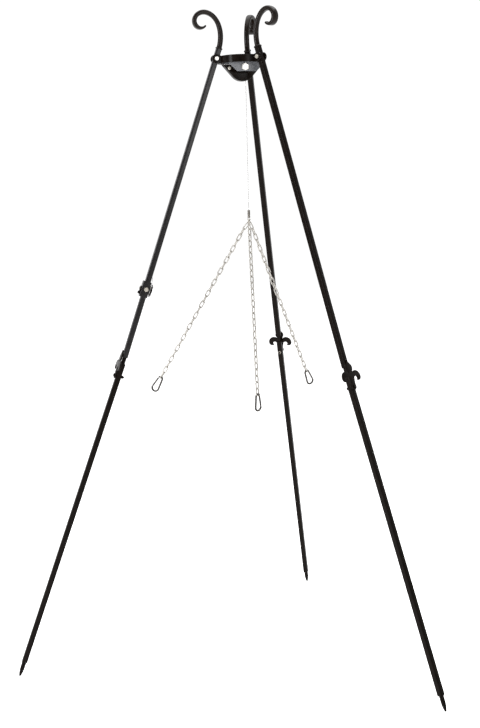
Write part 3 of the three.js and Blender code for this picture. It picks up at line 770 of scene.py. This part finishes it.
# ---------------------------------------------------------------- the head
def ring_piece(paint):
    inner, soft = RING_R - RING_WALL, 0.5
    wall = lathe([(inner, RING_BOTTOM + soft), (inner + soft, RING_BOTTOM),
                  (RING_R - soft, RING_BOTTOM), (RING_R, RING_BOTTOM + soft),
                  (RING_R, RING_TOP - soft), (RING_R - soft, RING_TOP),
                  (inner + soft, RING_TOP), (inner, RING_TOP - soft)], 120, closed=True)
    root = RING_R - 2
    ear = [(root, RING_BOTTOM), *arc(PIVOT_R, 0, EAR_R, -math.pi / 2, math.pi / 2, 20),
           (root, RING_TOP)]
    parts = [wall]
    for azimuth in AZIMUTH.values():
        spin = turned(azimuth - AZIMUTH["left"], "Z")
        for low in (EAR_GAP, -EAR_GAP - EAR_T):
            shape = upright_plate([ear, circle(M6_HOLE, 24, PIVOT_R, 0)], low, low + EAR_T)
            parts.append(placed(shape, spin))
            for side in (low - 0.1, low + EAR_T + 0.1):
                reach = math.sqrt(RING_R ** 2 - side ** 2)
                bead = [(reach + 0.5, side, RING_BOTTOM + 1 + (RING_TOP - RING_BOTTOM - 2) * i / 12)
                        for i in range(13)]
                parts.append(placed(weld(bead, 1.3, round(10 * azimuth + side)), spin))
    piece("head_ring", merged(*parts), HEAD, BLACK, stands_for=["hub_ring"], **paint)


def pulley_pieces(paint):
    y_axis = turned(-90, "X")
    half, hub, bevel = PULLEY_W / 2, 7, 0.6
    side = [(AXLE_HOLE, 8), (hub, 8), (hub, half), (PULLEY_R - bevel, half),
            (PULLEY_R, half - bevel), (PULLEY_R, half - 2 * bevel), (10.6, 1.7), (9.4, 1.0)]
    groove = [*((r, -z) for r, z in side), (GROOVE_R, 0), *reversed(side)]
    piece("sheave", lathe(groove, 72, closed=True), AXLE @ y_axis, DULL,
          slot="dark_steel", body="pulley", stands_for=["pulley"])
    low, high = GUARD_HALF + GAP, CHEEK_Y - CHEEK_T - GAP
    bush = [(AXLE_HOLE, low + 0.4), (5.7, low), (7.6, low), (8, low + 0.4),
            (8, high - 0.4), (7.6, high), (5.7, high), (AXLE_HOLE, high - 0.4)]
    for name, way in (("front", 1), ("rear", -1)):
        piece(f"bush_{name}", lathe(bush, 48, closed=True), AXLE @ turned(-90 * way, "X"), BLACK,
              stands_for=[f"axle_bush_{name}"], **paint)
    plated = dict(slot="zinc_plate", body="head")
    seat = CHEEK_Y + GAP
    m10_bolt = bolt(flats=17, head=6.4, diameter=AXLE_D, reach=2 * seat + 12, pitch=1.5, thread=22)
    piece("sheave_bolt", m10_bolt, AXLE @ shift(0, seat, 0) @ y_axis, ZINC,
          stands_for=["axle_bolt"], **plated)
    piece("sheave_nut", hexagon(flats=17, height=8, hole=5.05),
          AXLE @ shift(0, -seat, 0) @ turned(90, "X"), ZINC, stands_for=["axle_nut"], **plated)
    pin = lathe([(0, -12), (2.3, -12), (PIN_R, -11.6), (PIN_R, 10.5), (4.2, 10.5), (4.2, 11.9),
                 (3.2, 12.8), (0, 12.9)], 32)
    piece("shoulder_pin", pin, HEAD @ shift(PIN_X, 0, PIN_Z) @ y_axis, WORN,
          stands_for=["housing_pin"], **plated)


# The pulley's housing: a band bent round below it between two tabs under the ring, slotted for the
# cable, and the walls welded to its edges.
def guard_pieces(paint):
    bend = RING_BOTTOM
    toward = math.atan2(bend - AXLE_DROP, GUARD_TAB)
    touch = toward - math.acos(GUARD_R / math.hypot(GUARD_TAB, bend - AXLE_DROP))
    bottom = arc(0, AXLE_DROP, GUARD_R, touch, -math.pi - touch, 60)
    side = [(GUARD_TAB, RING_TOP - 4), (GUARD_TAB, bend + 4), (GUARD_TAB - 0.35, bend + 1.2),
            (GUARD_TAB - 1.5, bend - 1.6), (GUARD_TAB - 3.2, bend - 4.6)]
    line = [*side, *bottom, *[(-x, z) for x, z in reversed(side)]]
    band = swept([(x, 0, z) for x, z in line], rounded(2.5, 2 * GUARD_HALF, 0.8, 3), hint=RIGHT)

    def block(width, depth, x, z):
        outline = rounded(width, depth, 1.5)
        return placed(stacked([(outline, -6), (outline, 6)]), shift(x, 0, z))

    slots = [block(8, 7, HOIST_X, AXLE_DROP - GUARD_R), block(14, 7, 54.5, -15.5)]
    piece("guard_band", band, HEAD, BLACK, stands_for=["guard_strap"], cutters=slots, **paint)

    outline = [(GUARD_TAB - 3, bend - 4), *bottom, (3 - GUARD_TAB, bend - 4)]
    wall = [outline, circle(AXLE_HOLE, 32, 0, AXLE_DROP), circle(PIN_R + GAP, 24, PIN_X, PIN_Z)]
    walls = [upright_plate(wall, low, low + GUARD_WALL, 0.3)
             for low in (GUARD_HALF - GUARD_WALL, -GUARD_HALF)]
    seam = arc(0, AXLE_DROP, GUARD_R - 1.2, touch, -math.pi - touch, 70)
    beads = [weld([(x, y, z) for x, z in seam], 0.75, seed)
             for y, seed in ((GUARD_HALF - 0.2, 31), (0.2 - GUARD_HALF, 32))]
    piece("guard_walls", merged(*walls, *beads), HEAD, BLACK, **paint)


def head_pieces():
    paint = dict(slot="black_paint", body="head")
    ring_piece(paint)
    outline = [(-46.2, -2), (-46.2, -14), (-43.5, -24), (-34, -36.5), (22, -36.5), (46.2, -14.5),
               (46.2, -2)]
    drawing = [soft_corners(outline, 2.5), circle(AXLE_HOLE, 32, 0, AXLE_DROP)]
    for name, side in (("front", 1), ("rear", -1)):
        middle = side * (CHEEK_Y - CHEEK_T / 2)
        cheek = upright_plate(drawing, middle - CHEEK_T / 2, middle + CHEEK_T / 2, 0.4)
        # The black-painted cheeks get the bluish grey colour of painted sheen.
        piece(f"cheek_{name}", cheek, HEAD, CHEEK_PAINTED_SHEEN, stands_for=[f"pulley_cheek_{name}"], sharp=45,
              **paint)
    guard_pieces(paint)
    pulley_pieces(paint)


head_pieces()


# ---------------------------------------------------------------- the winder
def clamp_pieces():
    half = CLAMP_LENGTH / 2
    wide, off = CLAMP_OUT + CLAMP_IN, (CLAMP_OUT - CLAMP_IN) / 2
    outer = [(x + off, y) for x, y in rounded(wide, 2 * CLAMP_SIDE, 1.6)]
    small = [(x + off, y) for x, y in rounded(wide - 0.8, 2 * CLAMP_SIDE - 0.8, 1.6)]
    bore = rounded(2 * CLAMP_BORE, 2 * CLAMP_BORE, 1.4)
    sleeve = stacked([(bore, -half), (small, -half), (outer, -half + 0.4), (outer, half - 0.4),
                      (small, half), (bore, half)], looped=True)
    # The clamp takes the same painted-sheen copy of the black paint as the left leg's upper tube.
    piece("clamp_sleeve", sleeve, WINDING, BLACK_PAINTED_SHEEN, slot="black_paint", body="leg_left",
          stands_for=["winder_clamp"], cutters=[bar_tool(SPINDLE_HOLE, 80, "x", (0, 0, 0)),
                                                bar_tool(M6_HOLE, 8, "y", (0, CLAMP_SIDE, 0))])
    reach = CLAMP_SIDE - CLAMP_BORE
    screw = bolt(flats=11, head=4.2, diameter=6, reach=reach, pitch=1.0, thread=reach - 0.3)
    piece("clamp_bolt", screw, WINDING @ shift(0, CLAMP_SIDE + GAP, 0) @ turned(-90, "X"), WORN,
          slot="zinc_plate", body="leg_left", stands_for=["clamp_screw"])


# The lobed hand wheel with its drum on the inner side, the spindle through the leg, the crank on
# the outer side, and the cable's turns side by side on the drum, in two layers.
def winder_pieces():
    moving = dict(body="winder")
    start = -(CLAMP_IN + GAP)
    steps = 160
    rim = []
    for i in range(steps):
        angle = 2 * math.pi * i / steps
        radius = WHEEL_R + WHEEL_LOBE * math.cos(WHEEL_LOBES * angle)
        rim.append((radius * math.cos(angle), radius * math.sin(angle)))
    inward = turned(-90, "Y")
    wheel = placed(plate([rim, circle(SPINDLE_HOLE, 32)], WHEEL_T, ease=0.8, rounds=3),
                   shift(start - 3.2 - WHEEL_T / 2, 0, 0) @ inward)
    drum = placed(lathe([(SPINDLE_HOLE, 0), (9, 0), (9, 4), (SPINDLE_HOLE, 4)], 48, closed=True),
                  shift(start, 0, 0) @ inward)
    piece("hand_wheel", merged(wheel, drum), WINDING, MATTE, slot="black_paint",
          stands_for=["winding_wheel"], **moving)

    inner, outer_end = start - 6.2, CLAMP_OUT + 4.6
    spindle = lathe([(0, inner - 1.9), (5.6, inner - 1.9), (6.5, inner - 1.2),
                     (6.5, inner - GAP), (4, inner - GAP), (4, outer_end - 0.8),
                     (3.3, outer_end), (0, outer_end)], 40)
    piece("winder_spindle", spindle, WINDING @ turned(90, "Y"), DULL, slot="dark_steel",
          stands_for=["winder_axle"], **moving)

    knob_y = -12
    arm = [*arc(0, 0, 6.5, 0, math.pi, 14), *arc(0, knob_y, 4.6, math.pi, 2 * math.pi, 14)]
    knob = lathe([(0, 1.5), (3.6, 1.5), (3.8, 2.4), (3.4, 3.4), (3.8, 5.0), (3.3, 5.9),
                  (2.3, 6.1), (0, 6.1)], 36)
    lever = plate([arm, circle(SPINDLE_HOLE, 28)], CRANK_T)
    crank = merged(placed(lever, shift(0, 0, CRANK_T / 2)), placed(knob, shift(0, knob_y, 0)))
    outward = shift(CLAMP_OUT + GAP, 0, 0) @ turned(90, "Z") @ turned(90, "X")
    piece("winder_handle", crank, WINDING @ outward, BLACK, slot="black_paint",
          stands_for=["winder_crank"], **moving)

    coil = []
    for first, advance, radius in ((0.9, 0.72, 10.05), (2.34, -0.72, 11.4)):
        for i in range(COIL_TURNS * COIL_STEPS + 1):
            turns = i / COIL_STEPS
            angle = 2 * math.pi * turns
            coil.append((start - (first + turns * advance), radius * math.cos(angle),
                         radius * math.sin(angle)))
    piece("wound_turns", rope(smooth_line(coil, 1.1), 1.45), WINDING, WIRE, slot="wire_rope",
          stands_for=["cable_wound"], **moving)


clamp_pieces()
winder_pieces()
rivets()


# ---------------------------------------------------------------- the cable
# The run, from the pulley's far side over to the left leg, down inside it and out to the drum, and
# the fall from the pulley to the ferrule.
def cable_pieces():
    over = arc(0, AXLE_DROP, -HOIST_X, math.pi, math.pi / 2, 30)
    level = [*over, (18, -14.15), (35, -14.4), (58, -14.65), (66, -14.75)]
    inside = [(-6.9, 0, -13.4), (-4.6, 0, -15.4), (-2.6, 0, -19.8), (-1.3, 0, -31), (-1, 0, -75),
              (-1, 0, -160), (-1, 0, -240), (-1, 0, -330), (-1, 0, -420), (-1, 0, -500),
              (-1, 0, -575), (-3.2, 0.2, -597), (-6.8, 1.2, -611.5), (-10.4, 4.6, -621.5),
              (-11.5, 9.0, -634), (-11.7, 10.6, -642), (-11.6, 11.2, -651)]
    to_leg = LEG["left"].inverted() @ HEAD
    points = [to_leg @ Vector((x, 0, z)) for x, z in level] + [Vector(p) for p in inside]
    made = piece("cable_run", rope(smooth_line(points, 1.2), CABLE_D, hint=BACK), LEG["left"], WIRE,
                 slot="wire_rope", stands_for=["cable_head", "cable_leg"])
    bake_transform(made)

    steps = 340
    top = PIVOT_Z + AXLE_DROP
    length = top - FERRULE_TOP + 4
    drop = [(0, 0, top - length * i / steps) for i in range(steps + 1)]
    made = piece("cable_fall", rope(drop, CABLE_D, hint=RIGHT), HOIST, WIRE, slot="wire_rope",
                 stands_for=["cable_drop"])
    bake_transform(made)


cable_pieces()


# ---------------------------------------------------------------- the sling
RING_CENTRE = SLING_Z - RING_WIRE / 2 + RING_LOOP + 1


# The ferrule crimped in two bands on the cable, the loop below it and the collecting ring.
def sling_pieces():
    foot, top, full, pressed = FERRULE_FOOT, FERRULE_TOP, 3.7, 3.35
    crimp = lathe([(0, foot - 0.4), (2.2, foot - 0.2), (3.0, foot + 0.6), (full, foot + 1.6),
                   (full, foot + 5), (pressed, foot + 5.8), (pressed, foot + 7.4),
                   (full, foot + 8.2), (full, top - 7.4), (pressed, top - 6.6),
                   (pressed, top - 5), (full, top - 4.2), (full, top - 1), (2.8, top),
                   (0, top)], 40)
    piece("crimp_sleeve", crimp, HOIST, DULL, slot="dark_steel", body="sling",
          stands_for=["sling_ferrule"])
    eye = []
    for i in range(61):
        angle = math.radians(20 + 320 * i / 60)
        rise = EYE_R * math.cos(angle) * (1.0 if math.cos(angle) < 0 else 1.15)
        eye.append((EYE_R * math.sin(angle), 0, EYE_Z + rise))
    piece("cable_eye", rope(smooth_line(eye, 0.6), 1.9, hint=BACK), HOIST, WIRE, slot="dark_steel",
          body="sling")
    ring = swept([(x, y, 0) for x, y in circle(RING_LOOP, 64)], circle(RING_WIRE / 2, 20),
                 looped=True)
    piece("gather_ring", ring, HOIST @ shift(0, 0, RING_CENTRE) @ turned(90, "Y"), WORN,
          slot="zinc_plate", body="sling", stands_for=["sling_ring"])


sling_pieces()


# A link in XZ, from its length and width over all and its wire.
def link_shape(length, width=LINK_WIDTH, wire=LINK_WIRE):
    bend = (width - wire) / 2
    straight = (length - wire) / 2 - bend
    line = [*arc(0, straight, bend, 0, math.pi, 14),
            *arc(0, -straight, bend, math.pi, 2 * math.pi, 14)]
    return swept([(x, 0, z) for x, z in line], circle(wire / 2, 10), hint=BACK, looped=True)


HOOK_SPAN = HOOK_LENGTH - HOOK_WIRE - HOOK_TOP_R - HOOK_BOTTOM_R
HOOK_SLOPE = math.asin((HOOK_BOTTOM_R - HOOK_TOP_R) / HOOK_SPAN)
HOOK_START = HOOK_SLOPE + math.radians(14)
HOOK_END = 2 * math.pi + HOOK_SLOPE - math.radians(12)


# A spring hook in XZ with the middle of its top bend at the origin: its wire, open on one side and
# thinner at its ends, and the gate across the opening with a pin at each end.
def hook_shapes():
    top = arc(0, 0, HOOK_TOP_R, HOOK_START, math.pi - HOOK_SLOPE, 24)
    bottom = arc(0, -HOOK_SPAN, HOOK_BOTTOM_R, math.pi - HOOK_SLOPE, HOOK_END, 30)
    line = smooth_line([(x, 0, z) for x, z in [*top, *bottom]], 1.4)
    last = len(line) - 1

    def section(t):
        k = min(min(t, 1 - t) * last / 1.5, 1)
        return circle(HOOK_THICK / 2 * (0.8 + 0.2 * math.sqrt(1 - (1 - k) ** 2)), 16)

    wire = swept(line, section, hint=BACK)
    start, end = line[0], line[-1]
    ahead = (end - start).normalized()
    reach = (end - start).length
    sizes = (1.6, 2.1, 2.3, 2.3, 2.3, 2.1, 1.6)
    stations = (2.0, 2.4, 3.0, reach / 2, reach - 2.2, reach - 1.5, reach - 1.1)
    gate = swept([start + ahead * way for way in stations],
                 lambda t: circle(sizes[round(t * (len(sizes) - 1))], 16), hint=BACK)
    pin = lathe([(0, -2.5), (0.7, -2.5), (0.9, -2.3), (0.9, 2.3), (0.7, 2.5), (0, 2.5)], 16)
    pins = [placed(pin, Matrix.Translation(at) @ turned(90, "X"))
            for at in (start + ahead * 2.4, end - ahead * 2.6)]
    return wire, merged(gate, *pins)


# The link between a chain and the collecting ring, placed in the chain's frame. The next link lies
# in the chain's YZ plane, so this one lies in its XZ plane.
def end_link(name, chain):
    seat = math.radians(RING_SEATS[name])
    reach = RING_LOOP - RING_WIRE / 2 - END_WIRE / 2
    to_hoist = HOIST.inverted() @ chain
    high = Vector((0, reach * math.sin(seat), RING_CENTRE - reach * math.cos(seat)))
    low = to_hoist @ Vector((0, 0, -PITCH - END_WIRE / 2))
    up = (high - low).normalized()
    across = (to_hoist.to_3x3() @ BACK).cross(up).normalized()
    axes = Matrix((across, up.cross(across), up)).transposed().to_4x4()
    shape = link_shape((high - low).length + END_WIRE, END_WIDTH, END_WIRE)
    stand = Matrix.Translation((high + low) / 2) @ axes
    return placed(shape, chain.inverted() @ HOIST @ stand)


def chain_pieces():
    plain = link_shape(PITCH + 2 * LINK_WIRE)
    wire, gate = hook_shapes()
    for name, (azimuth, tilt, spin) in CHAINS.items():
        chain = (HOIST @ shift(*polar(CHAIN_SPREAD, azimuth), SLING_Z) @ turned(azimuth, "Z")
                 @ turned(-tilt, "Y") @ turned(spin, "Z"))
        dice = random.Random(name)
        links = [end_link(name, chain)]
        for i in range(1, LINKS):
            quarter = 90 if (LINKS - i) % 2 == 1 else 0
            wobble = 7 * (dice.random() - 0.5)
            stand = shift(0, 0, -PITCH * (i + 0.5)) @ turned(quarter + wobble, "Z")
            links.append(placed(plain, stand))
        piece(f"links_{name}", merged(*links), chain, CHAIN, slot="chain_steel",
              body=f"chain_{name}", stands_for=[f"chain_{name}"])
        seat = LINKS * PITCH - HOOK_WIRE / 2 - HOOK_PLAY
        hook = chain @ shift(0, 0, -(seat + HOOK_TOP_R))
        piece(f"snap_hook_{name}", wire, hook, HOOK, slot="chain_steel", body=f"hook_{name}",
              stands_for=[f"spring_hook_{name}"])
        piece(f"snap_gate_{name}", gate, hook, HOOK, slot="chain_steel", body=f"gate_{name}",
              stands_for=[f"hook_gate_{name}"])


chain_pieces()


# ---------------------------------------------------------------- floor and light
# In metres: the floor's half width; each light's place, aim, size, power in watts and colour.
FLOOR_REACH = 14
AIM = (0, -0.2, 1.4)
WHITE = (1, 1, 1)
LIGHTS = {
    "key": ((*polar(3.0, 230), 1.8), AIM, (0.6, 2.4), 95, (0.96, 0.98, 1.0)),
    "side": ((*polar(3.2, 196), 1.9), AIM, (0.8, 1.4), 4, WHITE),
    "front": ((*polar(3.6, 316), 2.0), AIM, (1.3, 1.5), 30, WHITE),
    "right": ((*polar(3.2, 20), 2.0), (0, 0, 0.7), (1.2, 1.4), 5, WHITE),
    "top": ((0.2, 0.1, 4.4), (0, 0, 0), (4.0, 4.0), 170, WHITE),
}
# The sky grows brighter with the y of its direction: from and to which y, and how bright there.
SKY_FROM = (-0.1, 0.55)
SKY_LIGHT = (0.4, 1.05)


def make_stage():
    mesh = bpy.data.meshes.new("floor")
    corners = [(x * FLOOR_REACH, y * FLOOR_REACH, 0)
               for x, y in ((-1, -1), (1, -1), (1, 1), (-1, 1))]
    mesh.from_pydata(corners, [], [[0, 1, 2, 3]])
    floor = added("floor", mesh)
    pale = bpy.data.materials.new("floor_pale")
    pale.use_nodes = True
    shader = pale.node_tree.nodes["Principled BSDF"]
    shader.inputs["Base Color"].default_value = (0.92, 0.92, 0.92, 1)
    shader.inputs["Emission Color"].default_value = (1, 1, 1, 1)
    shader.inputs["Emission Strength"].default_value = 0.7
    shader.inputs["Roughness"].default_value = 0.9
    shader.inputs["Specular IOR Level"].default_value = 0.1
    mesh.materials.append(pale)


def make_light():
    world = bpy.data.worlds.new("studio")
    world.use_nodes = True
    tree = world.node_tree
    background = tree.nodes["Background"]
    split = node(tree, "ShaderNodeSeparateXYZ")
    place = node(tree, "ShaderNodeTexCoord").outputs["Generated"]
    tree.links.new(place, split.inputs["Vector"])
    sky = remapped(tree, split.outputs["Y"], SKY_FROM, SKY_LIGHT)
    tree.links.new(sky, background.inputs["Color"])
    background.inputs["Strength"].default_value = 1.0
    bpy.context.scene.world = world
    bpy.context.scene.view_settings.view_transform = "Standard"
    for name, (place, target, size, power, color) in LIGHTS.items():
        data = bpy.data.lights.new(name, "AREA")
        data.shape = "RECTANGLE"
        data.size, data.size_y = size
        data.energy = power
        data.color = color
        lamp = added(name, data)
        lamp.location = place
        toward = Vector(target) - Vector(place)
        lamp.rotation_euler = toward.to_track_quat("-Z", "Y").to_euler()


make_stage()
make_light()
